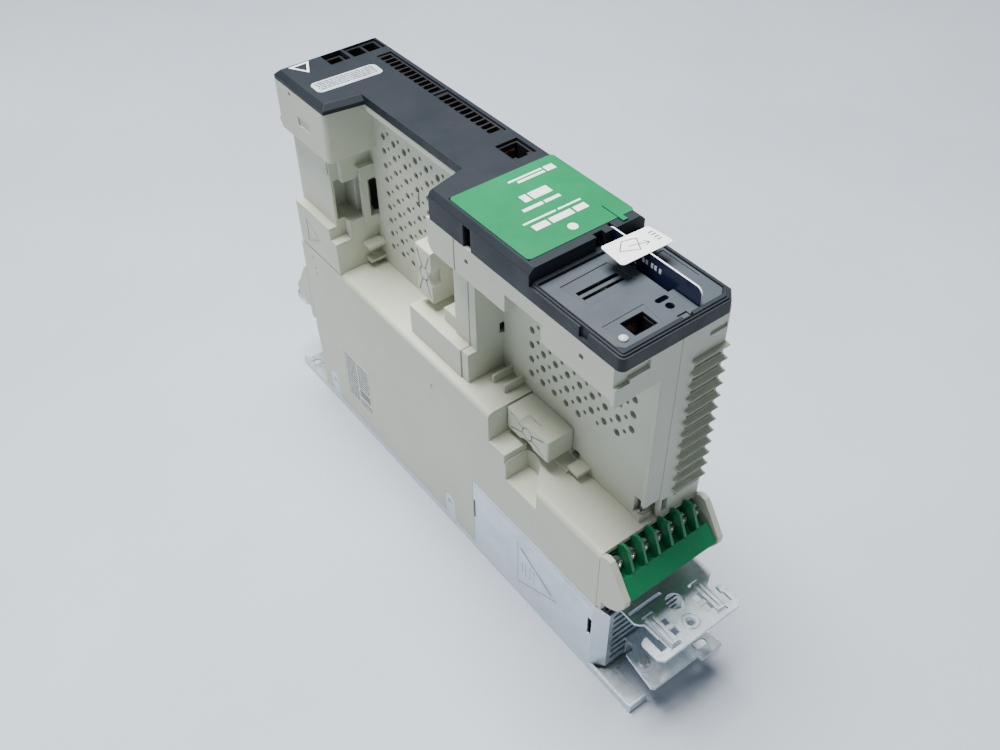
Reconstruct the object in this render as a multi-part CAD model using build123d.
"""Compact book-style servo drive, lying on its back plate.

Row frame: +Z points out of the front panel, +Y towards the power-terminal end, +X towards the side
with the two option bays. The origin is the centre of the back plate's rear face. Millimetres.
"""
from build123d import *
from math import cos, radians, sin
import os

# ---- driving dimensions -------------------------------------------------------------------------
HALF_WIDTH = 31.0            # the drive is 62 mm wide
HALF_LENGTH = 161.0          # the back plate is 322 mm long
DEPTH = 226.0                # back plate to front face
WALL = 2.4                   # moulded housing wall
FIT = 0.2                    # gap between neighbouring mouldings
SHEET = 1.5                  # galvanised sheet
NEAR_END = 131.0             # housing face at the power-terminal end
FAR_END = -131.0             # housing face at the fan end
FLANGE_TOP = 5.0             # height of the back plate's side flanges

DUCT_TOP = 57.0              # top of the heatsink tunnel
DECK_HIGH = 120.0            # lower housing deck under option bay 1
DECK_LOW = 97.5              # lower housing deck under option bay 2
DECK_STEP_Y = 48.0           # where the deck steps down
LATCH = (-2.0, 5.0, 123.0, 128.0)   # block on the low deck at the foot of the shells' seam

BAY_WALL_X = 4.0             # back wall of both option bays
SEAM_X = -3.5                # joint between the left and right shells
RIM_HIGH = 221.0             # shell rim under the thin part of the front panel
RIM_LOW = 211.0              # shell rim under the deep part of the front panel
RIM_STEP_Y = 2.0

PANEL_TOP = 225.8
PANEL_NEAR = 133.0
PANEL_FAR = -130.0
KEYPAD_STEP_Y = 78.0         # front panel steps down here for the keypad
KEYPAD_RIM = 218.9
KEYPAD_FLOOR = 217.5

CARD_X = -14.0               # middle plane of the memory card
CARD = (0.76, 54.0, 85.6)    # ID-1 card: thickness, width along Y, length along Z
CARD_Y = 101.0
CARD_TOP = 225.7

TERMINAL_PITCH = 8.1
TERMINAL_WAYS = 7
SCREW_TILT = 45.0            # clamp screws lean from +Z towards +Y

FAN_Z = 29.5
FAN_SIZE = 50.0
FAN_DEPTH = 15.0

CLAMP_PLANE = 50.0           # underside of the T-shaped ground plates, level with a fin's top
SUPPORT_PLANE = 18.0         # underside of the lower plate
CLAMP_CENTRE = -1.0
CORNER_SCREW = (20.6, 165.6) # spare earth screw, on the fan-end plate only
TONGUE_SCREWS_X = (-16.0, 14.0)

os.makedirs("parts", exist_ok=True)


# ---- shape helpers ------------------------------------------------------------------------------
def block(x0, x1, y0, y1, z0, z1):
    """A box given by its lowest and highest corners."""
    corner = (Align.MIN, Align.MIN, Align.MIN)
    return Pos(x0, y0, z0) * Box(x1 - x0, y1 - y0, z1 - z0, align=corner)


def prism_x(points, x0, x1):
    """A (y, z) outline extruded from x0 to x1."""
    plane = Plane(origin=(x0, 0, 0), x_dir=(0, 1, 0), z_dir=(1, 0, 0))
    return extrude(plane * Polygon(*points, align=None), amount=x1 - x0, dir=(1, 0, 0))


def prism_y(points, y0, y1):
    """An (x, z) outline extruded from y0 to y1."""
    plane = Plane(origin=(0, y1, 0), x_dir=(1, 0, 0), z_dir=(0, -1, 0))
    return extrude(plane * Polygon(*points, align=None), amount=y1 - y0, dir=(0, -1, 0))


def prism_z(points, z0, z1):
    """An (x, y) outline extruded from z0 to z1."""
    face = Plane.XY.offset(z0) * Polygon(*points, align=None)
    return extrude(face, amount=z1 - z0, dir=(0, 0, 1))


def rod(start, end, radius):
    """A cylinder between two points."""
    axis = Vector(*end) - Vector(*start)
    plane = Plane(origin=start, z_dir=axis)
    return extrude(plane * Circle(radius), amount=axis.length)


def cut_all(body, tools):
    """Remove every tool from the body."""
    return body.cut(*tools) if tools else body


def join_all(shapes):
    """Fuse a list of shapes into one solid."""
    return shapes[0].fuse(*shapes[1:])


def mirrored_y(shape):
    """The same shape at the other end of the drive."""
    return mirror(shape, about=Plane.XZ)


def arc_points(cx, cy, radius, start, end, steps=5):
    """Points along an arc, angles in degrees."""
    angles = [radians(start + (end - start) * k / steps) for k in range(steps + 1)]
    return [(cx + radius * cos(a), cy + radius * sin(a)) for a in angles]


parts = {}


# ---- back plate ---------------------------------------------------------------------------------
EAR_Y = (-117.0, 9.0)        # upturned ears that clip over the housing's foot
EAR_WIDTH = 9.0
EAR_TOP = 24.0
EAR_THICK = 1.2
EAR_ROUND = EAR_WIDTH / 2
FOOT_X = 20.0                # the near end of the plate is two feet outside this
FIXING_X = 25.0
FIXING_Y = -155.5
FIXING_R = 2.75
BASE_SCREWS = [(25.8, -98.0), (25.8, 20.0), (-26.0, -90.0), (-26.0, 100.0)]


def ear(side, y, thick, grow):
    """Upturned ear with a round top; grow makes the pocket that takes it."""
    inner, outer = sorted((side * (HALF_WIDTH - thick), side * (HALF_WIDTH + grow)))
    half = EAR_ROUND + grow
    straight = block(inner, outer, y - half, y + half, SHEET - grow, EAR_TOP - EAR_ROUND)
    return straight + rod((inner, y, EAR_TOP - EAR_ROUND), (outer, y, EAR_TOP - EAR_ROUND), half)


def back_plate():
    plate = block(-HALF_WIDTH, HALF_WIDTH, -HALF_LENGTH, HALF_LENGTH, 0, SHEET)
    pieces = [plate]
    for side in (-1, 1):
        edge = sorted((side * (HALF_WIDTH - SHEET), side * HALF_WIDTH))
        pieces.append(block(*edge, -HALF_LENGTH, HALF_LENGTH, 0, FLANGE_TOP))
        foot = sorted((side * FOOT_X, side * HALF_WIDTH))
        pieces.append(block(*foot, HALF_LENGTH - SHEET, HALF_LENGTH, 0, 6.0))
        pieces += [ear(side, y, EAR_THICK, 0) for y in EAR_Y]
    plate = join_all(pieces)
    tools = [block(-FOOT_X, FOOT_X, 139, HALF_LENGTH + 1, -1, FLANGE_TOP)]
    for side in (-1, 1):
        spot = (side * FIXING_X, FIXING_Y)
        tools.append(rod((*spot, -1), (*spot, SHEET + 1), FIXING_R))
        for y in EAR_Y:
            tools.append(rod((side * 28, y, 17), (side * 32, y, 17), 2.0))
    for x, y in BASE_SCREWS:
        tools.append(rod((x, y, -1), (x, y, SHEET + 1), 1.6))
        tools.append(Pos(x, y, 0.7) * Cone(3.0, 1.6, 1.4))
    return cut_all(plate, tools)


def base_screws():
    screws = []
    for x, y in BASE_SCREWS:
        head = Pos(x, y, 0.7) * Cone(2.9, 1.5, 1.4)
        shank = rod((x, y, 1.0), (x, y, 10.0), 1.45)
        slot = block(x - 2.2, x + 2.2, y - 0.4, y + 0.4, -1, 0.5)
        screws.append((head + shank) - slot)
    return Compound(children=screws)


parts["back_plate"] = back_plate()
parts["base_screws"] = base_screws()


# ---- heatsink and its cover ---------------------------------------------------------------------
SINK_X = (-28.4, 22.0)
SPINE_THICK = 5.0
SPINE_INNER = SINK_X[0] + SPINE_THICK
SINK_Y = (-112.0, 130.0)
FIN_COUNT = 9
FIN_PITCH = 6.4
FIN_THICK = 1.6
FIN_FIRST_Z = 3.6
TONGUE_SCREW_Y = 125.0
GRILLE_Y = 136.0             # outer face of the cover's end grille
GRILLE_TOP = 49.8
SUPPORT_SCREWS_X = (-9.0, 8.0)
SUPPORT_SCREW_Z = 11.5
COVER_START_Y = 32.6
COVER_BEND_Y = 129.6


def heatsink():
    spine = block(SINK_X[0], SPINE_INNER, *SINK_Y, 2.0, DUCT_TOP - 0.6)
    rise = block(SINK_X[0], SPINE_INNER, SINK_Y[0], 108, DUCT_TOP - 1, 94.0)
    fins = []
    for i in range(FIN_COUNT):
        z = FIN_FIRST_Z + i * FIN_PITCH
        fins.append(block(SPINE_INNER - 1, SINK_X[1], *SINK_Y, z, z + FIN_THICK))
    sink = join_all([spine, rise] + fins)
    holes = [rod((x, y, 1), (x, y, 11), 1.45) for x, y in BASE_SCREWS if x < 0]
    for x in TONGUE_SCREWS_X:
        holes.append(rod((x, TONGUE_SCREW_Y, CLAMP_PLANE - 5), (x, TONGUE_SCREW_Y, CLAMP_PLANE + 1), 1.5))
    return cut_all(sink, holes)


def heatsink_cover():
    """Zinc-plated sheet over the open side of the tunnel; it wraps round the end as a slotted grille."""
    outer = HALF_WIDTH
    inner = HALF_WIDTH - 1.0
    outline = [(outer, COVER_START_Y), (outer, COVER_BEND_Y), (25.4, GRILLE_Y), (-28.2, GRILLE_Y),
               (-28.2, 130.2), (-27.2, 130.2), (-27.2, GRILLE_Y - 1), (24.9, GRILLE_Y - 1),
               (inner, COVER_BEND_Y - 0.4), (inner, COVER_START_Y)]
    sheet = prism_z(outline, FLANGE_TOP, DUCT_TOP)
    # the top edge slopes down round the bend and runs under the clamp plate
    above = prism_y([(31.5, DUCT_TOP + 0.6), (25.4, GRILLE_TOP), (-32, GRILLE_TOP), (-32, 60), (31.5, 60)],
                    COVER_BEND_Y + 0.1, GRILLE_Y + 1)
    tools = [above, block(29, 32, COVER_START_Y - 1, COVER_START_Y + 1.6, 27, 42),
             block(29, 32, 126.4, 129.2, 30, 43)]
    for k in range(8):
        z = 45.7 - 5.06 * k
        slot = block(-23, 21.5, GRILLE_Y - 3, GRILLE_Y + 1, z - 1.3, z + 1.3)
        tools.append(slot.fuse(rod((21.5, GRILLE_Y - 3, z), (21.5, GRILLE_Y + 1, z), 1.3)))
    for x in SUPPORT_SCREWS_X:
        tools.append(rod((x, GRILLE_Y - 3, SUPPORT_SCREW_Z), (x, GRILLE_Y + 1, SUPPORT_SCREW_Z), 1.5))
    triangle = [(71.0, 10.5), (71.0, 45.5), (104.0, 27.5)]
    island = prism_x([(73.4, 14.6), (73.4, 41.6), (98.8, 27.6)], outer - 1, outer + 2)
    tools.append(prism_x(triangle, outer - 0.3, outer + 1) - island)
    tools += [block(outer - 0.3, outer + 1, y, y + 1.3, 22, 33) for y in (77.6, 81.0, 84.4)]
    tools.append(block(outer - 0.3, outer + 1, 75.0, 75.9, 23, 32))
    tools.append(block(outer - 0.2, outer + 1, COVER_START_Y, COVER_BEND_Y - 1, 54.2, 54.6))
    sheet = cut_all(sheet, tools)
    tabs = []
    for y in (50, 105):
        tabs.append(block(27.4, inner + 0.2, y, y + 8, DUCT_TOP - 1.2, DUCT_TOP))
        tabs.append(block(27.4, 28.4, y, y + 8, DUCT_TOP - 1.2, DUCT_TOP + 6))
    return sheet.fuse(*tabs)


parts["heatsink"] = heatsink()
parts["heatsink_cover"] = heatsink_cover()


# ---- lower housing ------------------------------------------------------------------------------
LEDGE_TOP = 101.5
SEAM_SCREW = (1.6, 125.4)
SCOOP_FLOOR = 85.0
SCOOP_Y = (61.5, 86.4)


def lower_housing():
    """The lower box of the case: open underneath, with a stepped deck on top."""
    side = [(FAR_END, FLANGE_TOP + FIT), (FAR_END + 1, 36), (FAR_END - 1, 58), (FAR_END - 1, DECK_HIGH),
            (DECK_STEP_Y, DECK_HIGH), (DECK_STEP_Y, DECK_LOW), (NEAR_END, DECK_LOW),
            (NEAR_END, FLANGE_TOP + FIT)]
    outer = prism_x(side, -HALF_WIDTH, HALF_WIDTH)
    rounded = [e for e in outer.edges().filter_by(Axis.Y)
               if e.center().Z > DECK_LOW - 1 and abs(e.center().X) > HALF_WIDTH - 1]
    outer = fillet(rounded, 3.0)
    outer += block(17, HALF_WIDTH, DECK_STEP_Y - 1, 60.5, DECK_LOW - 2, LEDGE_TOP)
    inside = HALF_WIDTH - WALL
    hollow = prism_x([(FAR_END + WALL + 1, 0), (FAR_END + WALL + 1, DECK_HIGH - WALL),
                      (DECK_STEP_Y - WALL, DECK_HIGH - WALL), (DECK_STEP_Y - WALL, DECK_LOW - WALL),
                      (NEAR_END - WALL, DECK_LOW - WALL), (NEAR_END - WALL, 0)], -inside, inside)
    keep = block(14.6, HALF_WIDTH, DECK_STEP_Y - 3, 88, SCOOP_FLOOR - WALL, DECK_HIGH)
    case = outer - (hollow - keep)
    case += block(*LATCH, DECK_LOW - 1, DECK_LOW + 3.5)
    bosses = [rod((x, y, SHEET), (x, y, 20), 3.1) for x, y in BASE_SCREWS if x > 0]
    case = case.fuse(*bosses)
    scoop = prism_z([(32, SCOOP_Y[0]), (17, SCOOP_Y[0]), (16, 66), (17, 70), (19.5, 74), (23.4, 77.5),
                     (27, 81), (32, SCOOP_Y[1])], SCOOP_FLOOR, DECK_HIGH)
    tools = [scoop]
    tools += [rod((x, y, 0), (x, y, 11), 1.45) for x, y in BASE_SCREWS if x > 0]
    # the sheet cover takes the place of the wall beside the near half of the tunnel
    tools.append(block(inside - 0.1, 32, COVER_START_Y - FIT, NEAR_END + 1, 0, DUCT_TOP + 0.3))
    # tunnel outlet and power terminal window in the near wall
    tools.append(block(-inside, inside, NEAR_END - WALL - 1, NEAR_END + 1, 0, DUCT_TOP + 0.3))
    tools.append(block(-27.2, 27.2, NEAR_END - WALL - 1, NEAR_END + 1, 62.5, 95.0))
    # motor connector window and fan grille in the far wall
    tools.append(block(-25.2, 25.2, FAR_END - 3, FAR_END + WALL + 2, 66.0, 92.0))
    for i in range(8):
        z = FAN_Z - 21.5 + i * 5.6
        tools.append(block(-22, 22, FAR_END - 3, FAR_END + WALL + 2, z, z + 3.4))
    # screw holes for the far ground bracket, and a small notch above it
    for x in TONGUE_SCREWS_X:
        tools.append(rod((x, -134, 36.7), (x, -126, 36.7), 1.5))
    tools.append(block(29, 32, -133, -130.6, 56.5, 59.5))
    # pockets for the back plate's ears
    tools += [ear(side, y, EAR_THICK + 0.1, FIT) for side in (-1, 1) for y in EAR_Y]
    # the seam's latch block takes a small screw
    tools.append(rod((*SEAM_SCREW, DECK_LOW - 2), (*SEAM_SCREW, DECK_LOW + 5), 1.0))
    # small sunk moulding marks near the fan end
    for y, z in ((-121.0, 112.0), (-120.0, 105.0), (-119.0, 101.5)):
        tools.append(block(HALF_WIDTH - 0.3, 32, y, y + 2.0, z, z + 1.2))
    # shallow pocket for the data label, and a round moulding mark
    tools.append(block(HALF_WIDTH - 0.2, 32, -99, -71, 20, 58))
    tools.append(rod((HALF_WIDTH - 0.3, 0.3, 100.6), (32, 0.3, 100.6), 2.6))
    for x in (-24.0, 24.0):
        tools.append(rod((x, NEAR_END - WALL - 1, 60), (x, NEAR_END + 1, 60), 1.45))
    case = cut_all(case, tools)
    clips = [rod((side * (HALF_WIDTH - EAR_THICK - 0.2), y, 17), (side * (HALF_WIDTH - 0.3), y, 17), 1.8)
             for side in (-1, 1) for y in EAR_Y]
    return case.fuse(*clips)


def data_label():
    return block(HALF_WIDTH - 0.2, HALF_WIDTH, -98.6, -71.4, 20.4, 57.6)


def air_duct_plate():
    """Insulating sheet that closes the top of the heatsink tunnel."""
    bottom = FIN_FIRST_Z + (FIN_COUNT - 1) * FIN_PITCH + FIN_THICK
    return block(SPINE_INNER + FIT, 27.2, SINK_Y[0], 128.0, bottom, bottom + SHEET)


parts["lower_housing"] = lower_housing()
parts["data_label"] = data_label()
parts["air_duct_plate"] = air_duct_plate()


# ---- terminal shrouds, one at each end ----------------------------------------------------------
CHEEK = 3.2
NEAR_CHEEK = [(NEAR_END + FIT, 65.0), (NEAR_END + FIT, 97.0), (134.5, 98.8), (137.5, 98.3), (141.5, 93.0),
              (145.5, 86.8), (149.4, 81.2), (149.2, 77.0), (145.0, 69.6), (138.5, 65.4)]
FAR_CHEEK = [(FAR_END - 1.2, 66.0), (-140.8, 65.7), (-147.7, 69.0), (-149.3, 75.3), (-143.7, 82.7),
             (-135.5, 96.3), (FAR_END - 1.2, 99.0)]


def terminal_shroud(outline, y0, y1):
    """Two cheeks that flank the terminals, joined by a bar below them."""
    left = prism_x(outline, HALF_WIDTH - CHEEK, HALF_WIDTH)
    right = prism_x(outline, -HALF_WIDTH, -HALF_WIDTH + CHEEK)
    bar = block(-HALF_WIDTH + 1, HALF_WIDTH - 1, y0, y1, 58.6, 62.0)
    legs = [block(x0, x0 + CHEEK, y0, y1, 58.6, 70.0) for x0 in (-HALF_WIDTH, HALF_WIDTH - CHEEK)]
    return join_all([left, right, bar] + legs)


parts["near_terminal_shroud"] = terminal_shroud(NEAR_CHEEK, NEAR_END + FIT, NEAR_END + 3.2)
parts["far_terminal_shroud"] = terminal_shroud(FAR_CHEEK, FAR_END - 4.2, FAR_END - 1.2)


# ---- power terminal block -----------------------------------------------------------------------
BLOCK_HALF = 27.0
SCREW_FACE = (132.6, 88.9)     # (y, z) where each clamp screw meets the slanted face
SCREW_AXIS = (0.0, sin(radians(SCREW_TILT)), cos(radians(SCREW_TILT)))
SCREW_SHANK = 2.0
SCREW_HEAD_R = 3.1
HEAD_HEIGHT = 4.0
SHANK_LENGTH = 14.0


def screw_x(index):
    """Middle of one terminal way."""
    return (index - (TERMINAL_WAYS - 1) / 2) * TERMINAL_PITCH


def along_screw(x, distance):
    """A point on a clamp screw's axis, counted outwards from the slanted face."""
    y, z = SCREW_FACE
    return (x, y + SCREW_AXIS[1] * distance, z + SCREW_AXIS[2] * distance)


def power_terminal_block():
    body = prism_x([(112, 64), (112, 93), (131.3, 93), (131.3, 90.2), (138.5, 83.0), (140.5, 84.5),
                    (142.0, 87.6), (149.2, 79.2), (143.6, 66.5), (139, 64)], -BLOCK_HALF, BLOCK_HALF)
    ribs = []
    for i in range(1, TERMINAL_WAYS):
        x = screw_x(i) - TERMINAL_PITCH / 2
        ribs.append(prism_x([(131.5, 82), (131.5, 98.6), (134.6, 100.6), (137.5, 99.8), (142.4, 88.4),
                             (140, 84)], x - 0.7, x + 0.7))
    block_solid = join_all([body] + ribs)
    tools = []
    for i in range(TERMINAL_WAYS):
        x = screw_x(i)
        tools.append(rod(along_screw(x, -SHANK_LENGTH - 1.5), along_screw(x, 12), SCREW_SHANK + 0.05))
        tools.append(rod(along_screw(x, -0.8), along_screw(x, 12), SCREW_HEAD_R + 0.25))
        # the wire entry, under the slanted lip
        tools.append(block(x - 2.9, x + 2.9, 126, 152, 70.0, 73.8))
    return cut_all(block_solid, tools)


def clamp_screw(index):
    """A clamp screw with a rimmed head, a slot and a short cross slot; it turns in the block's hole."""
    x = screw_x(index)
    top = HEAD_HEIGHT - 0.6
    head = rod(along_screw(x, -0.6), along_screw(x, top), SCREW_HEAD_R)
    shank = rod(along_screw(x, -SHANK_LENGTH), along_screw(x, 0), SCREW_SHANK)
    dish = rod(along_screw(x, top - 0.6), along_screw(x, top + 1), SCREW_HEAD_R - 0.8)
    face = Plane(origin=along_screw(x, top), x_dir=(1, 0, 0), z_dir=SCREW_AXIS)
    slot = face * Box(2 * SCREW_HEAD_R + 1, 0.9, 3.4)
    cross = face * Box(0.9, 3.6, 3.4)
    return cut_all(head + shank, [dish, slot, cross])


parts["power_terminal_block"] = power_terminal_block()
for index in range(TERMINAL_WAYS):
    parts[f"clamp_screw_{index + 1}"] = clamp_screw(index)


# ---- motor connector at the far end -------------------------------------------------------------
MOTOR_WAYS = 6
MOTOR_PITCH = 7.62


def motor_connector():
    body = block(-25, 25, -142.5, -113, 66.2, 91.8)
    tools = []
    for i in range(MOTOR_WAYS):
        x = (i - (MOTOR_WAYS - 1) / 2) * MOTOR_PITCH
        tools.append(block(x - 1.9, x + 1.9, -143.5, -127, 69.5, 78.5))
        tools.append(block(x - 1.9, x + 1.9, -143.5, -127, 81.5, 88.5))
    return cut_all(body, tools)


def terminal_contacts():
    """Brass wire clamps: a bar behind each near clamp screw and a blade in each motor way."""
    clamps = []
    for i in range(TERMINAL_WAYS):
        x = screw_x(i)
        clamps.append(block(x - 2.7, x + 2.7, 128, 140, 70.0, 71.0))
    for i in range(MOTOR_WAYS):
        x = (i - (MOTOR_WAYS - 1) / 2) * MOTOR_PITCH
        clamps.append(block(x - 0.5, x + 0.5, -138.0, -127.0, 71.5, 76.5))
    return Compound(children=clamps)


parts["motor_connector"] = motor_connector()
parts["terminal_contacts"] = terminal_contacts()


# ---- ground clamp brackets ----------------------------------------------------------------------
def ground_bracket(far=False):
    """Clamp plate with two hooked fingers for cable-screen straps; a tongue or a leg bolts it on."""
    c = CLAMP_CENTRE
    outline = [(c + 21, 133.7), (c + 21, 146.5), (c + 19.5, 148.5), (c + 17.5, 150.0), (c + 17.5, 159.5),
               (c + 21.5, 159.5), (c + 21.5, 155.5), (c + 23.0, 155.2), (c + 25.2, 156.2), (c + 25.7, 157.5),
               (c + 25.7, 167.5), (c + 23, 170), (c - 25.5, 170), (c - 28, 167.5), (c - 28, 157.5),
               (c - 27, 155.8), (c - 24.5, 155.5), (c - 24.5, 159.5), (c - 21.5, 159.5), (c - 21.5, 152.6),
               (c - 29, 148), (c - 29, 133.7)]
    pieces = [prism_z(outline, CLAMP_PLANE, CLAMP_PLANE + SHEET)]
    if far:
        pieces.append(block(-20, 18, 132.2, 132.2 + SHEET, 31.5, CLAMP_PLANE + SHEET))
    else:
        pieces.append(block(-20, 18, TONGUE_SCREW_Y - 6, 134, CLAMP_PLANE, CLAMP_PLANE + SHEET))
    fingers = ((c + 13.2, 1), (c - 17.2, -1))
    for x, side in fingers:
        for dx in (-1.3, 1.3):
            pieces.append(block(x + dx - 0.9, x + dx + 0.9, 148.0, 166.4, CLAMP_PLANE, CLAMP_PLANE + 3.0))
        for y in (148.0, 164.9):
            pieces.append(block(x - 2.2, x + 2.2, y, y + 1.5, CLAMP_PLANE, CLAMP_PLANE + 3.4))
    bracket = join_all(pieces)
    tools = []
    for x, side in fingers:
        for d0, d1, y0, y1 in ((-6.6, -2.4, 152.5, 156.5), (-6.6, -2.4, 159.0, 163.0), (3.6, 8.2, 159.4, 165.5)):
            near, beyond = sorted((x + side * d0, x + side * d1))
            tools.append(block(near, beyond, y0, y1, 40, 60))
        near, beyond = sorted((x + side * 2.2, x + side * 3.4))
        tools.append(block(near, beyond, 149, 166.4, 40, 60))
        tools.append(block(x - 3.4, x + 3.4, 166.4, 167.6, 40, 60))
        tools.append(block(x - 3.4, x + 3.4, 146.6, 148.0, 40, 60))
    tools.append(Pos(8.5, 142.0, CLAMP_PLANE) * extrude(SlotOverall(21, 2.6), amount=4, both=True))
    tools.append(rod((c - 3.0, 149.2, 45), (c - 3.0, 149.2, 60), 4.6))
    top = CLAMP_PLANE + SHEET
    tools.append(rod((-2, 162, 45), (-2, 162, 60), 1.7))
    tools.append(rod((-2, 162, top - 0.5), (-2, 162, top + 1), 4.6) - rod((-2, 162, 45), (-2, 162, 60), 3.9))
    tools.append(Pos(-2, 162, top - 0.4) * Cone(1.6, 2.6, 1.0))
    if far:
        tools.append(rod((*CORNER_SCREW, 45), (*CORNER_SCREW, 60), 1.7))
        for x in TONGUE_SCREWS_X:
            tools.append(rod((x, 131, 36.7), (x, 135, 36.7), 1.7))
    else:
        for x in TONGUE_SCREWS_X:
            tools.append(rod((x, TONGUE_SCREW_Y, 45), (x, TONGUE_SCREW_Y, 60), 1.7))
    return cut_all(bracket, tools)


def support_bracket():
    """Lower plate under the clamp plate; its flange is screwed to the end grille."""
    top = SUPPORT_PLANE + SHEET
    start = GRILLE_Y + 0.1
    plate = prism_z([(13, start), (13, 141.5), (15, 143.5), (19.3, 143.5), (22.2, 164.5), (20.7, 166), (-8, 166),
                     (-8, 168.5), (-22.5, 168.5), (-22.5, 160), (-19, 157), (-19, 143.5), (-14, 143.5),
                     (-14, start)], SUPPORT_PLANE, top)
    flange = block(-14, 13, start, start + SHEET, 7.0, top)
    boss = rod((15.5, 152.8, SUPPORT_PLANE), (15.5, 152.8, top + 0.8), 5.2)
    bracket = join_all([plate, flange, boss])
    tools = [rod((15.5, 152.8, 10), (15.5, 152.8, 30), 1.7),
             Pos(-14, 161.5, SUPPORT_PLANE) * extrude(SlotOverall(8, 4.2), amount=4, both=True)]
    for x in SUPPORT_SCREWS_X:
        tools.append(rod((x, start - 1, SUPPORT_SCREW_Z), (x, start + 3, SUPPORT_SCREW_Z), 1.7))
    return cut_all(bracket, tools)


def pan_screw(base, tip, head_r=3.0, shank_r=1.5, grip=6.0):
    """A cross-head screw; base is under the head and tip is the way it drives."""
    drive = Vector(*tip).normalized()
    start = Vector(*base)
    head_top = start - drive * 2.2
    screw = rod(tuple(head_top), tuple(start), head_r) + rod(tuple(start), tuple(start + drive * grip), shank_r)
    face = Plane(origin=head_top, z_dir=-drive)
    return screw - face * Box(3.6, 0.8, 2.0) - face * Box(0.8, 3.6, 2.0)


def bracket_screws():
    down = (0, 0, -1)
    inwards = (0, -1, 0)
    screws = [pan_screw((15.5, 152.8, SUPPORT_PLANE + SHEET + 0.8), down)]
    screws += [pan_screw((x, TONGUE_SCREW_Y, CLAMP_PLANE + SHEET), down, grip=4.0) for x in TONGUE_SCREWS_X]
    screws += [pan_screw((x, GRILLE_Y + 0.1 + SHEET, SUPPORT_SCREW_Z), inwards, grip=4.0) for x in SUPPORT_SCREWS_X]
    leg = [pan_screw((x, 132.2 + SHEET, 36.7), inwards) for x in TONGUE_SCREWS_X]
    corner = pan_screw((*CORNER_SCREW, CLAMP_PLANE + SHEET), down, head_r=4.0)
    return Compound(children=screws + [mirrored_y(screw) for screw in leg + [corner]])


parts["ground_bracket_near"] = ground_bracket()
parts["ground_bracket_far"] = mirrored_y(ground_bracket(far=True))
parts["support_bracket"] = support_bracket()
parts["bracket_screws"] = bracket_screws()


# ---- right shell --------------------------------------------------------------------------------
LOUVRE_PITCH = 7.25
HIGH_DECK = DECK_HIGH + FIT
LOW_DECK = DECK_LOW + FIT
SHELL_FAR = -130.0


def shell_side(rim_near, near):
    """Side outline shared by both shells: it follows the stepped deck and the stepped rim."""
    return [(SHELL_FAR, HIGH_DECK), (DECK_STEP_Y + FIT, HIGH_DECK), (DECK_STEP_Y + FIT, LOW_DECK),
            (near, LOW_DECK), (near, rim_near), (RIM_STEP_Y, rim_near), (RIM_STEP_Y, RIM_HIGH),
            (SHELL_FAR, RIM_HIGH)]


def louvre_bank(x0, x1, face, out, first, count):
    """Overhanging louvre blades on an end wall, and the air slots below them."""
    blades = []
    slots = []
    for i in range(count):
        z = first + i * LOUVRE_PITCH
        blades.append(prism_x([(face - out, z - 1.4), (face + out * 2.2, z), (face + out * 2.5, z + 0.4),
                               (face + out * 2.2, z + 0.9), (face - out, z + 1.2)], x0, x1))
        slots.append(block(x0 + 2.0, x1 - 2.0, face - 4, face + 4, z - 4.9, z - 2.7))
    return blades, slots


def right_shell():
    outer = prism_x(shell_side(RIM_LOW, NEAR_END), -HALF_WIDTH, SEAM_X - FIT / 2)
    corners = [e for e in outer.edges().filter_by(Axis.Z)
               if abs(e.center().X + HALF_WIDTH) < 0.1 and abs(e.center().Y) > 100]
    outer = fillet(corners, 2.5)
    hollow = block(-HALF_WIDTH + WALL, 0, SHELL_FAR + WALL, NEAR_END - WALL, 90, 230)
    shell = outer - hollow
    near_blades, near_slots = louvre_bank(-30.0, -10.7, NEAR_END, 1.0, 112.0, 12)
    far_blades, far_slots = louvre_bank(-29.0, -8.0, SHELL_FAR, -1.0, 148.0, 6)
    shell = shell.fuse(*near_blades, *far_blades)
    tools = near_slots + far_slots
    tools.append(block(-29, -19, NEAR_END - 1.0, NEAR_END + 1, 201.5, 204.5))
    tools.append(block(-8.8, -5.4, NEAR_END - WALL - 1, NEAR_END + 1, 101.0, 109.0))
    for row in (150.0, 164.0, 178.0):
        for i in range(20):
            y = -108 + i * 9.0
            tools.append(block(-32, -28, y, y + 5.5, row, row + 2.4))
    return cut_all(shell, tools)


parts["right_shell"] = right_shell()


# ---- left shells: the two halves that carry the option bays -------------------------------------
SEAM_LOW_Y = 19.3            # the left shells meet here, below the rail
SEAM_HIGH_Y = 25.6           # and here, in the rail itself
SEAM_GAP = 0.7
RAIL_BOTTOM = 193.5
BAY2_WALL_Y = 25.0
NOTCH_Y = (62.0, 86.0)       # notch in the rail's lower edge
NOTCH_TOP = 203.0
MID_COLUMN_X = 20.0
SKIN = 2.0
VENT_LARGE = 1.9
VENT_SMALL = 1.1


def vent_tools(first, step, columns, rows, offset, keep):
    """Staggered large and small vent holes through a bay wall; keep says where holes may go."""
    tools = []
    for i in range(columns):
        for j in range(rows):
            y = first[0] + step[0] * i
            z = first[1] + step[1] * j
            for dy, dz, radius in ((0, 0, VENT_LARGE), (*offset, VENT_SMALL)):
                if keep(y + dy, z + dz):
                    tools.append(rod((0.5, y + dy, z + dz), (5.5, y + dy, z + dz), radius))
    return tools


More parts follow.
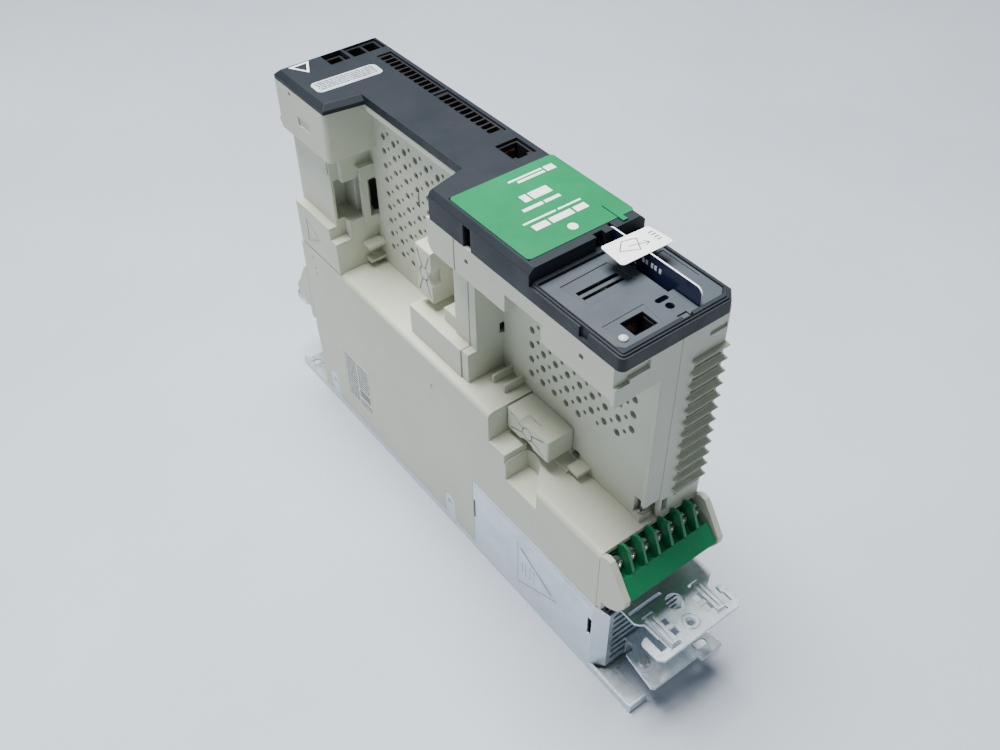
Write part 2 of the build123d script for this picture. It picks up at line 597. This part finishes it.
def far_left_shell():
    back = BAY_WALL_X - 0.5
    bay_wall = block(BAY_WALL_X - WALL, BAY_WALL_X, -91, SEAM_LOW_Y, HIGH_DECK, RIM_HIGH)
    bay_wall += block(BAY_WALL_X - WALL, 9.0, -91, RIM_STEP_Y, RIM_HIGH - 3.5, RIM_HIGH)
    # far column: upper block, set-back panel, lower bands and ledges
    upper = block(BAY_WALL_X, HALF_WIDTH, SHELL_FAR, -82, RAIL_BOTTOM, RIM_HIGH)
    corner = [e for e in upper.edges().filter_by(Axis.Z) if e.center().X > 30 and e.center().Y > -83]
    upper = fillet(corner, 2.5)
    under = block(back, 21.5, SHELL_FAR, -89.6, 175, RAIL_BOTTOM + 1)
    panel = block(back, 26.0, SHELL_FAR, -94, 146, RAIL_BOTTOM + 1)
    band = block(back, HALF_WIDTH, SHELL_FAR, -94, HIGH_DECK, 147)
    low_band = block(back, HALF_WIDTH, -96, -88, HIGH_DECK, 140)
    nose = block(back, 21, -106, -88, HIGH_DECK, 151)
    end_flange = block(SEAM_X + FIT / 2, 6, SHELL_FAR, SHELL_FAR + WALL, HIGH_DECK, RIM_HIGH)
    # mid column under the deep part of the front panel
    head = prism_x([(5.5, 197), (8.5, RAIL_BOTTOM), (SEAM_HIGH_Y, RAIL_BOTTOM), (SEAM_HIGH_Y, RIM_LOW),
                    (5.5, RIM_LOW)], back, HALF_WIDTH)
    column = block(back, MID_COLUMN_X, 8, SEAM_LOW_Y, 136, RAIL_BOTTOM + 1)
    platform = block(back, 26, -24.5, SEAM_LOW_Y, HIGH_DECK, 138)
    step = block(back, 19, -3.5, 8.5, 136, 146.5)
    solid = join_all([bay_wall, upper, under, panel, band, low_band, nose, end_flange, head, column,
                      platform, step])
    deep = BAY_WALL_X - WALL - 1
    open_end = SEAM_LOW_Y + 1
    inner = [block(deep, HALF_WIDTH - SKIN, SHELL_FAR + WALL, -84, RAIL_BOTTOM + SKIN, 230),
             block(deep, 19.5, SHELL_FAR + WALL, -91.6, 177, RAIL_BOTTOM + SKIN + 1),
             block(deep, 24.0, SHELL_FAR + WALL, -107.6, 145, RAIL_BOTTOM + SKIN + 1),
             block(deep, HALF_WIDTH - SKIN, SHELL_FAR + WALL, -96, 110, 145),
             block(deep, HALF_WIDTH - SKIN, -97, -90, 110, 138),
             block(deep, 21 - SKIN, -108, -90, 110, 149),
             block(deep, HALF_WIDTH - SKIN, 7.5, SEAM_HIGH_Y + 1, RAIL_BOTTOM + SKIN, 230),
             block(deep, MID_COLUMN_X - SKIN, 10, open_end, 136, RAIL_BOTTOM + SKIN + 1),
             block(deep, 24, -22.5, open_end, 110, 136),
             block(deep, 17, -1.5, 9, 130, 144.5)]
    shell = cut_all(solid, inner)
    lip = block(6, HALF_WIDTH, SHELL_FAR - 1.5, SHELL_FAR + 1, 196, 199.5)
    cover = block(BAY_WALL_X - 0.4, 12.2, -89.2, -86.6, 143, 181)
    cover_ledge = block(BAY_WALL_X - 0.4, 13.4, -90.5, -85.4, 181, 182.6)
    shelves = [block(BAY_WALL_X - 0.4, 15, -89, -80.5, 133.6, 135.2),
               block(BAY_WALL_X - 0.4, 14, -89, -82.0, 123.6, 125.2)]
    shell = join_all([shell, cover, cover_ledge, lip] + shelves)
    tools = [block(deep, 8.2, -92, -85, 150, 173),
             block(12.4, 24.6, -105.6, -93, 151, 175),
             block(HALF_WIDTH - 0.8, 32, -110, -99, 203, 208),
             block(24.0, 27, -96.2, -95.0, 179, 190),
             rod((HALF_WIDTH - 0.6, -115.6, 218), (32, -115.6, 218), 1.3)]
    tools += vent_tools((-73.2, 204.0), (9.6, -8.55), 8, 9, (4.6, 3.5),
                        lambda y, z: y < 4.5 and z < 210 and in_bay_1(y, z))
    tools.append(block(0.5, 5, -44.3, -42.7, 180, 189))
    mark = prism_x([(-121, 124), (-121, 140), (-106, 132)], HALF_WIDTH - 0.3, 32)
    tools.append(mark - prism_x([(-119.8, 126.2), (-119.8, 137.8), (-109, 132)], 30, 33))
    return cut_all(shell, tools)


def in_bay_1(y, z):
    """True where bay 1's back wall is open to view, clear of the platform and the connector cap."""
    clear_of_platform = z > 150 or y < -26.5
    clear_of_cap = not (-27 < y < -8 and 140 < z < 178)
    return clear_of_platform and clear_of_cap and z > 126 and (y < -30 or z > 150)


def in_bay_2(y, z):
    """True inside the sloping field of vents in bay 2."""
    return 40 < y < 118.5 and z < 190 and z > 128 - max(0, (60 - y)) * 0.2 and z > 95 + 0.42 * y


def near_left_shell():
    back = BAY_WALL_X - 0.5
    start = SEAM_LOW_Y + SEAM_GAP
    rail_start = SEAM_HIGH_Y + SEAM_GAP
    rail_floor = RAIL_BOTTOM + SKIN
    bay_wall = block(BAY_WALL_X - WALL, BAY_WALL_X, start, NEAR_END, LOW_DECK, RAIL_BOTTOM + 1)
    bay_wall += block(BAY_WALL_X - WALL, BAY_WALL_X, rail_start, NEAR_END, RAIL_BOTTOM, RIM_LOW)
    bay_wall -= block(0, 5, 0, DECK_STEP_Y + FIT, 90, HIGH_DECK)
    divider = block(BAY_WALL_X - WALL, MID_COLUMN_X, start, BAY2_WALL_Y, HIGH_DECK, RAIL_BOTTOM - 0.3)
    low_divider = block(BAY_WALL_X - WALL, 25.5, start, BAY2_WALL_Y, HIGH_DECK, 138.3)
    floor = block(back, HALF_WIDTH, rail_start, NEAR_END, RAIL_BOTTOM, rail_floor)
    side = block(HALF_WIDTH - SKIN, HALF_WIDTH, rail_start, NEAR_END, RAIL_BOTTOM, RIM_LOW)
    hump = block(back, HALF_WIDTH, NOTCH_Y[0] - SKIN, NOTCH_Y[1] + SKIN, RAIL_BOTTOM, NOTCH_TOP + SKIN)
    near_wall = block(SEAM_X + FIT / 2, 6.0, NEAR_END - WALL, NEAR_END, LOW_DECK, RIM_LOW)
    near_flange = block(5.0, HALF_WIDTH, NEAR_END - WALL, NEAR_END, 191.5, RIM_LOW)
    cap_seat = block(back, 12, 85, 93, 101.4, 103.2)
    cap_base = block(back, 12, 60.6, 85, LOW_DECK, 99.2)
    ribs = [block(back, 15.8, y - 0.8, y + 0.8, HIGH_DECK, 125) for y in (32, 41)]
    posts = [block(x, x + 4, y, y + 4, 195, 203.5) for x in (8, 24) for y in (89, 121)]
    shell = join_all([bay_wall, divider, low_divider, floor, side, hump, near_wall, near_flange,
                      cap_seat, cap_base] + ribs + posts)
    edge = [e for e in shell.edges().filter_by(Axis.Z)
            if abs(e.center().X - HALF_WIDTH) < 0.1 and abs(e.center().Y - NEAR_END) < 0.1]
    shell = fillet(edge, 1.0)
    pocket_x = (SEAM_X - 1, 6.4)
    tools = [block(back - 0.5, 32, *NOTCH_Y, RAIL_BOTTOM - 1, NOTCH_TOP),
             # shallow stepped notch at the corner of the rail
             block(24, 32, NEAR_END - 1.6, NEAR_END + 1, 201, 212),
             block(13.5, 24.1, NEAR_END - 1.6, NEAR_END + 1, 203, 208),
             # hollow behind the divider, and the square hole beside it
             block(BAY_WALL_X - WALL + 0.4, MID_COLUMN_X - SKIN, start - 1, BAY2_WALL_Y - SKIN, 125, 191),
             block(BAY_WALL_X - WALL - 1, 6.0, BAY2_WALL_Y - 4, BAY2_WALL_Y + 1, 142.4, 148.8),
             block(1, 5, 79, 84.6, 101, 106),
             # pocket at the foot of the seam, around the latch block
             block(*pocket_x, LATCH[2] - 0.4, NEAR_END + 1, LOW_DECK - 1, 111.5)]
    for y in (34.9, 110.6):
        tools.append(rod((HALF_WIDTH - SKIN - 1, y, 203.7), (32, y, 203.7), 1.4))
    tools += vent_tools((47.3, 131.3), (8.6, 9.15), 9, 7, (4.5, 4.5), in_bay_2)
    return cut_all(shell, tools)


def seam_screw():
    """Small screw in the latch block at the foot of the seam."""
    return pan_screw((*SEAM_SCREW, DECK_LOW + 3.5), (0, 0, -1), head_r=2.1, shank_r=1.0, grip=3.0)


parts["far_left_shell"] = far_left_shell()
parts["near_left_shell"] = near_left_shell()
parts["seam_screw"] = seam_screw()


# ---- option connector caps and the headers they cover -------------------------------------------
CAP = (16.0, 31.0, 13.0)       # depth along X, length, height
CAP_WALL = 1.4
WAIST_R = 7.0
WAIST_DEPTH = 2.1


def option_cap():
    """Dust cap, length along Y, mouth towards -X; its face has a moulded cross and a round boss."""
    depth, length, height = CAP
    body = block(0, depth, -length / 2, length / 2, 0, height)
    body = fillet(body.edges().filter_by(Axis.Z), 1.0)
    hollow = block(-1, depth - CAP_WALL, -length / 2 + CAP_WALL, length / 2 - CAP_WALL, CAP_WALL, height - CAP_WALL)
    # finger notches at mid-length, on both long sides of the face
    waists = [height + WAIST_R - WAIST_DEPTH, WAIST_DEPTH - WAIST_R]
    hollow = cut_all(hollow, [rod((depth - 7, 0, z), (depth + 1, 0, z), WAIST_R + CAP_WALL) for z in waists])
    notches = [rod((depth - 5.5, 0, z), (depth + 1, 0, z), WAIST_R) for z in waists]
    face = Plane(origin=(depth, 0, height / 2), x_dir=(0, 1, 0), z_dir=(1, 0, 0))
    boss = rod((depth - 1.2, 0, height / 2), (depth + 1, 0, height / 2), 3.2)
    ring = rod((depth - 0.9, 0, height / 2), (depth + 1, 0, height / 2), 4.0) - boss
    grooves = [face * Rot(0, 0, tilt) * Box(length - 4, 1.1, 1.2) - boss for tilt in (22, -22)]
    return cut_all(body - hollow, notches + grooves + [ring])


def option_header():
    """Two-row socket that the cap slides over."""
    body = block(-4, 9, -12, 12, 3.4, 9.6)
    pins = [block(6, 9.5, y - 0.4, y + 0.4, z - 0.4, z + 0.4)
            for y in [-9.9 + 2.2 * k for k in range(10)] for z in (5.2, 7.8)]
    return cut_all(body, pins)


def at_bay_2(shape):
    return Pos(BAY_WALL_X + FIT, 64.5, 106.5) * shape


def at_bay_1(shape):
    return Pos(BAY_WALL_X + FIT, -11.0, 159.5) * Rot(90, 0, 0) * shape


parts["option_cap_1"] = at_bay_1(option_cap())
parts["option_cap_2"] = at_bay_2(option_cap())
parts["option_header_1"] = at_bay_1(option_header())
parts["option_header_2"] = at_bay_2(option_header())
for shell_name, place in (("far_left_shell", at_bay_1), ("near_left_shell", at_bay_2)):
    opening = place(block(-6, 3, -12.2, 12.2, 3.2, 9.8))
    parts[shell_name] = parts[shell_name] - opening


# ---- boards and the parts they carry ------------------------------------------------------------
BOARD = 1.6
CONTROL_X = -24.0
BOARD_TOP = 210.0
POWER_X = -12.0


def control_board():
    outline = [(-112, 124), (50, 124), (50, 101), (126, 101), (126, BOARD_TOP - 4), (20, BOARD_TOP - 4),
               (20, BOARD_TOP), (-112, BOARD_TOP)]
    return prism_x(outline, CONTROL_X, CONTROL_X + BOARD)


def power_board():
    outline = [(-113, 60), (112, 60), (112, 92), (44, 92), (44, 116), (-113, 116)]
    return prism_x(outline, POWER_X, POWER_X + BOARD)


def bus_capacitors():
    cans = []
    for i in range(4):
        y = -88 + 33 * i
        can = rod((POWER_X + BOARD, y, 88), (24.6, y, 88), 15.0)
        cans.append(can - block(24.0, 26, y - 10, y + 10, 87.7, 88.3))
    return Compound(children=cans)


def power_module():
    return block(SPINE_INNER, POWER_X, -70, 30, 62, 90)


def line_choke():
    ring = rod((POWER_X + BOARD, 66, 77), (4, 66, 77), 14.5)
    return ring - rod((POWER_X + BOARD - 1, 66, 77), (5, 66, 77), 6.5)


def inrush_relays():
    return Compound(children=[block(POWER_X + BOARD, 5, y, y + 12, 64, 80) for y in (84, 98)])


def link_connector():
    """Board-to-board connector through the deck between the two boards."""
    return block(CONTROL_X + BOARD, POWER_X, -100, -78, 112, 132)


parts["control_board"] = control_board()
parts["power_board"] = power_board()
parts["bus_capacitors"] = bus_capacitors()
parts["power_module"] = power_module()
parts["line_choke"] = line_choke()
parts["inrush_relays"] = inrush_relays()
parts["link_connector"] = link_connector()
parts["lower_housing"] -= block(CONTROL_X + BOARD - FIT, POWER_X + FIT, -100.2, -77.8, 110, 125)


# ---- fan ----------------------------------------------------------------------------------------
FAN_Y = (-112.4 - FAN_DEPTH, -112.4)
FAN_BORE = 23.6
ROTOR_R = 22.4
HUB_R = 10.0
BLADES = 7
PIN_R = 1.5


def fan_frame():
    half = FAN_SIZE / 2
    body = block(-half, half, *FAN_Y, FAN_Z - half, FAN_Z + half)
    body -= rod((0, FAN_Y[0] - 1, FAN_Z), (0, FAN_Y[1] + 1, FAN_Z), FAN_BORE)
    back = FAN_Y[1] - 1.6
    carrier = rod((0, back, FAN_Z), (0, FAN_Y[1], FAN_Z), 8)
    pin = rod((0, FAN_Y[0] + 5, FAN_Z), (0, back, FAN_Z), PIN_R)
    struts = [Pos(0, 0, FAN_Z) * Rot(0, 45 + 90 * k, 0) * block(0, FAN_BORE + 1, back, FAN_Y[1], -1.2, 1.2)
              for k in range(4)]
    frame = join_all([body, carrier, pin] + struts)
    corners = [(sx * 20, FAN_Z + sz * 20) for sx in (-1, 1) for sz in (-1, 1)]
    return cut_all(frame, [rod((x, FAN_Y[0] - 1, z), (x, FAN_Y[1] + 1, z), 2.1) for x, z in corners])


def fan_rotor():
    front = FAN_Y[0] + 2.0
    back = FAN_Y[1] - 2.2
    hub = rod((0, front, FAN_Z), (0, back, FAN_Z), HUB_R)
    blade = block(HUB_R - 1, ROTOR_R, -4.2, 4.2, -0.6, 0.6)
    placed = [Pos(0, (front + back) / 2, FAN_Z) * Rot(0, 360 / BLADES * k, 0) * Rot(38, 0, 0) * blade
              for k in range(BLADES)]
    rotor = join_all([hub] + placed)
    return rotor - rod((0, front + 2.5, FAN_Z), (0, back + 1, FAN_Z), PIN_R + 0.05)


parts["fan_frame"] = fan_frame()
parts["fan_rotor"] = fan_rotor()


# ---- sockets under the front panel --------------------------------------------------------------
HEADER_X = (-26.0, -18.0)
HEADER_A = (-109.0, -60.0)
HEADER_B = (-58.0, -11.0)
WAY_PITCH = 4.3
MID_JACK = (-25.4, -13.4, -2.0, 12.0)
FRONT_JACK = (4.6, 18.2, 114.6, 126.6)
LENS = (22.2, 123.7, 1.9)
KEYPAD_BOARD_Z = 203.5


def control_header(span):
    """Vertical socket for a plug-in terminal strip, one square pocket for each way."""
    body = block(*HEADER_X, *span, BOARD_TOP, 225.0)
    count = int((span[1] - span[0] - 1.5) // WAY_PITCH)
    start = (span[0] + span[1]) / 2 - (count - 1) / 2 * WAY_PITCH
    tools = []
    for i in range(count):
        y = start + i * WAY_PITCH
        tools.append(block(HEADER_X[0] + 1.0, HEADER_X[1] - 1.4, y - 1.7, y + 1.7, 215.5, 226))
        tools.append(block(HEADER_X[1] - 2.0, HEADER_X[1] + 1.0, y - 1.3, y + 1.3, 221.5, 226))
    return cut_all(body, tools)


def header_contacts():
    pins = []
    for span in (HEADER_A, HEADER_B):
        count = int((span[1] - span[0] - 1.5) // WAY_PITCH)
        start = (span[0] + span[1]) / 2 - (count - 1) / 2 * WAY_PITCH
        for i in range(count):
            y = start + i * WAY_PITCH
            pins.append(block(-22.5, -21.5, y - 0.5, y + 0.5, 215.5, 222.5))
    return Compound(children=pins)


def modular_jack(x0, x1, y0, y1, z0, z1):
    """Shielded eight-way jack, mouth up, with a latch step in the opening."""
    body = block(x0, x1, y0, y1, z0, z1)
    mid = (x0 + x1) / 2
    mouth = block(x0 + 1.0, x1 - 1.0, y0 + 1.0, y1 - 3.0, z0 + 2.0, z1 + 1)
    latch = block(mid - 3.0, mid + 3.0, y1 - 3.1, y1 - 1.2, z0 + 2.0, z1 + 1)
    return body - mouth - latch


def corner_connector():
    body = block(-27, -8, -127, -116, BOARD_TOP, 224.6)
    tools = [block(-25.5, -18.5, -125.5, -117.5, 214, 226), block(-17, -9.5, -125.5, -117.5, 214, 226)]
    return cut_all(body, tools)


def signal_socket():
    return block(-6, 5, -127, -116, BOARD_TOP, 223.0) - block(-4.6, 3.6, -125.6, -117.4, 213, 226)


def connector_board():
    return block(-28, 8, -127.4, -114, BOARD_TOP - BOARD, BOARD_TOP)


def keypad_board():
    return block(5.5, 28.4, 88.5, 127.8, KEYPAD_BOARD_Z, KEYPAD_BOARD_Z + BOARD)


def status_lens():
    x, y, radius = LENS
    pipe = rod((x, y, KEYPAD_BOARD_Z + BOARD), (x, y, KEYPAD_FLOOR + 0.6), radius)
    dome = Pos(x, y, KEYPAD_FLOOR + 0.6 - 1.6) * Sphere(radius * 1.3)
    return pipe + (dome & block(x - 2, x + 2, y - 2, y + 2, KEYPAD_FLOOR, KEYPAD_FLOOR + 4)
                   & rod((x, y, 210), (x, y, 230), radius))


def card_reader():
    """Guide that holds the memory card upright beside the control board."""
    body = block(CONTROL_X + BOARD, -10.8, 71.4, 128.5, 134.5, 200.0)
    slot = block(CARD_X - 0.68, CARD_X + 0.68, CARD_Y - 27.4, CARD_Y + 27.4, 138.0, 201.0)
    relief = block(CONTROL_X, CARD_X - 2.2, 76, 124, 130, 196)
    return body - slot - relief


def memory_card():
    thick, width, length = CARD
    card = block(CARD_X - thick / 2, CARD_X + thick / 2, CARD_Y - width / 2, CARD_Y + width / 2,
                 CARD_TOP - length, CARD_TOP)
    return fillet(card.edges().filter_by(Axis.X), 3.2)


def card_flag():
    """Folded paper flag on the card's top edge."""
    outline = [(-25.6, 85.3), (-0.5, 83.9), (0.6, 98.5), (-26.8, 99.3)]
    flag = prism_z(outline, CARD_TOP, CARD_TOP + 0.35)
    return fillet(flag.edges().filter_by(Axis.Z), 1.6)


parts["control_header_a"] = control_header(HEADER_A)
parts["control_header_b"] = control_header(HEADER_B)
parts["header_contacts"] = header_contacts()
parts["mid_jack"] = modular_jack(*MID_JACK, BOARD_TOP, 224.4)
parts["front_jack"] = modular_jack(*FRONT_JACK, KEYPAD_BOARD_Z + BOARD, KEYPAD_FLOOR - 2.4)
parts["corner_connector"] = corner_connector()
parts["signal_socket"] = signal_socket()
parts["connector_board"] = connector_board()
parts["keypad_board"] = keypad_board()
parts["status_lens"] = status_lens()
parts["card_reader"] = card_reader()
parts["memory_card"] = memory_card()
parts["card_flag"] = card_flag()


# ---- front panel --------------------------------------------------------------------------------
LABEL = (-29.5, 27.4, 18.4, 73.2)
LABEL_TAB = (-22.2, -19.8, 63.0, 76.6)
LABEL_THICK = 0.8
PANEL_SKIN = 2.2
PLATE_THICK = 1.2
KEYPAD_RECESS = [(-29.0, 80.0), (28.5, 80.0), (28.5, 126.0), (26.0, 129.0), (-25.0, 129.0), (-29.0, 125.5)]
KEYPAD_PLATE = [(-28.8, 80.2), (28.3, 80.2), (28.3, 125.9), (25.9, 128.8), (-24.9, 128.8), (-28.8, 125.4)]
CARD_SLOT_Y = (CARD_Y - 27.4, CARD_Y + 27.4)
CARD_POCKET = (-14.0, -10.2, 91.0, 114.0)     # finger pocket beside the card
RIM_TERRACES = ((2.1, 218.3), (1.1, 217.6))   # inset and height of each step in the rim


def keypad_outline(inset):
    """Plan of the panel round the keypad bay, shrunk by the inset."""
    i = inset
    return ([(-31 + i, KEYPAD_STEP_Y - 1), (31 - i, KEYPAD_STEP_Y - 1)]
            + arc_points(28, PANEL_NEAR - 3, 3.0 - i, 0, 90)
            + [(-26 + 0.4 * i, PANEL_NEAR - i), (-31 + i, 128 - 0.4 * i)])


def front_panel():
    high = prism_z([(-31, PANEL_FAR), (31, PANEL_FAR), (31, -81.5), (9.2, -78.3), (9.2, 0.4),
                    (18, 2.8), (-31, 2.8)], RIM_HIGH + FIT, PANEL_TOP)
    deep = prism_z([(-31, RIM_STEP_Y + FIT), (16.2, RIM_STEP_Y + FIT), (28, 5.2), (31, 8.0), (31, KEYPAD_STEP_Y),
                    (-31, KEYPAD_STEP_Y)], RIM_LOW + FIT, PANEL_TOP)
    keypad = prism_z(keypad_outline(0), RIM_LOW + FIT, KEYPAD_RIM)
    for inset, level in RIM_TERRACES:
        around = block(-32, 32, KEYPAD_STEP_Y, PANEL_NEAR + 1, level, 230)
        keypad -= around - prism_z(keypad_outline(inset), level - 1, 231)
    solid = join_all([high, deep, keypad])
    top_edges = [e for e in solid.edges() if abs(e.center().Z - PANEL_TOP) < 0.01
                 and (abs(e.center().X) > 28 or e.center().Y < -129 or abs(e.center().Y - 3) < 3
                      or abs(e.center().Y + 79.9) < 1)]
    solid = chamfer(top_edges, 2.6)
    s = PANEL_SKIN
    inner = [block(-31 + s, 31 - s, PANEL_FAR + s, -86, 200, PANEL_TOP - s),
             block(-31 + s, 9.2 - s, -87, 4, 200, PANEL_TOP - s),
             block(-31 + s, 31 - s, 10, KEYPAD_STEP_Y - s, 200, PANEL_TOP - s),
             block(-31 + s, 20, 4, 11, 200, PANEL_TOP - s),
             block(-31 + s, 31 - s, KEYPAD_STEP_Y - s - 1, PANEL_NEAR - 5, 200, KEYPAD_FLOOR - s)]
    solid = cut_all(solid, inner)
    tools = []
    # openings over the sockets
    gap = 0.3
    for span in (HEADER_A, HEADER_B):
        tools.append(block(HEADER_X[0] - gap, HEADER_X[1] + gap, span[0] - gap, span[1] + gap, 200, 230))
    tools.append(block(MID_JACK[0] - gap, MID_JACK[1] + gap, MID_JACK[2] - gap, MID_JACK[3] + gap, 200, 230))
    tools.append(block(-27.3, -7.7, -127.3, -115.7, 200, 230))
    tools.append(block(-6.3, 5.3, -127.3, -115.7, 200, 230))
    # label recess, the recess for the keypad plate and the card slot
    tools.append(block(*LABEL, PANEL_TOP - LABEL_THICK, 230))
    tools.append(block(LABEL_TAB[0] - 0.2, LABEL_TAB[1] + 0.2, LABEL_TAB[2], LABEL_TAB[3] + 0.2,
                       PANEL_TOP - LABEL_THICK, 230))
    tools.append(prism_z(KEYPAD_RECESS, KEYPAD_FLOOR - PLATE_THICK, 230))
    tools.append(block(-11.0, 25.2, 86.2, 126.2, 200, 230))
    tools.append(block(CARD_X - 0.9, CARD_X + 0.9, *CARD_SLOT_Y, 200, 230))
    tools.append(block(*CARD_POCKET, 200, 230))
    # latch notches in the skirt and finger notches in the rims
    tools.append(block(28.5, 32, 33.5, 38.7, RIM_LOW, 222.6))
    tools.append(block(29.8, 32, 108.6, 113.8, 213, 218.4))
    tools.append(block(-9.0, -4.0, KEYPAD_STEP_Y - 2.6, KEYPAD_STEP_Y + 0.2, 218.5, 230))
    tools.append(block(-7.7, -2.6, 128, 130.6, KEYPAD_FLOOR - 0.8, 230))
    return cut_all(solid, tools)


def keypad_plate():
    """Socket plate that covers the floor of the keypad bay."""
    plate = prism_z(KEYPAD_PLATE, KEYPAD_FLOOR - PLATE_THICK, KEYPAD_FLOOR)
    x, y, radius = LENS
    shallow = KEYPAD_FLOOR - 0.4
    tools = [block(-3.0, 18.7, 92, 94, 200, 230), block(-3.0, 18.7, 95.8, 97.4, 200, 230),
             block(5.4, 17.3, 116.2, 125.0, 200, 230), rod((x, y, 200), (x, y, 230), radius + 0.15),
             rod((-5.0, 120.5, 200), (-5.0, 120.5, 230), 1.9),
             Pos(-5.2, 115.7, 217) * extrude(SlotOverall(6.5, 2.6), amount=4, both=True),
             block(CARD_X - 0.9, CARD_X + 0.9, *CARD_SLOT_Y, 200, 230),
             block(*CARD_POCKET, 200, 230),
             block(-27.5, -17.5, 93, 114, KEYPAD_FLOOR - 0.5, 230),
             block(-7.7, -2.6, 126.5, 129, KEYPAD_FLOOR - 0.8, 230),
             # shallow tapered recess around the two contact slots, and a fine step line beside the jack
             prism_z([(21.4, 85.7), (-3.8, 85.0), (-6.0, 100.5), (19.4, 101.5)], shallow, 230),
             prism_z([(24.2, 113.8), (2.5, 113.4), (4.0, 126.8), (20.0, 126.8)], KEYPAD_FLOOR - 0.25, 230)]
    return cut_all(plate, tools)


def green_label():
    x0, x1, y0, y1 = LABEL
    plate = block(x0 + 0.1, x1 - 0.1, y0 + 0.1, y1 - 0.1, PANEL_TOP - LABEL_THICK, PANEL_TOP + 0.2)
    plate = fillet(plate.edges().filter_by(Axis.Z), 2.0)
    return plate + block(*LABEL_TAB, PANEL_TOP - LABEL_THICK, PANEL_TOP + 0.7)


def rating_label():
    label = Pos(6.5, -98.5, PANEL_TOP) * Rot(0, 0, -2) * extrude(RectangleRounded(37, 11, 3), amount=0.2)
    return label


def caution_mark():
    outer = prism_z([(12.5, -126.5), (24.5, -126.0), (18.2, -115.5)], PANEL_TOP, PANEL_TOP + 0.15)
    inner = prism_z([(14.7, -125.0), (22.4, -124.7), (18.3, -117.8)], PANEL_TOP - 1, PANEL_TOP + 1)
    return outer - inner


parts["front_panel"] = front_panel()
parts["keypad_plate"] = keypad_plate()
parts["green_label"] = green_label()
parts["rating_label"] = rating_label()
parts["caution_mark"] = caution_mark()


# ---- output -------------------------------------------------------------------------------------
for name, shape in parts.items():
    export_step(shape, f"parts/{name}.step")
    box = shape.bounding_box()
    solids = shape.solids()
    low = tuple(round(v, 1) for v in box.min)
    high = tuple(round(v, 1) for v in box.max)
    print(f"{name:24s} solids {len(solids):3d} {low} {high}")
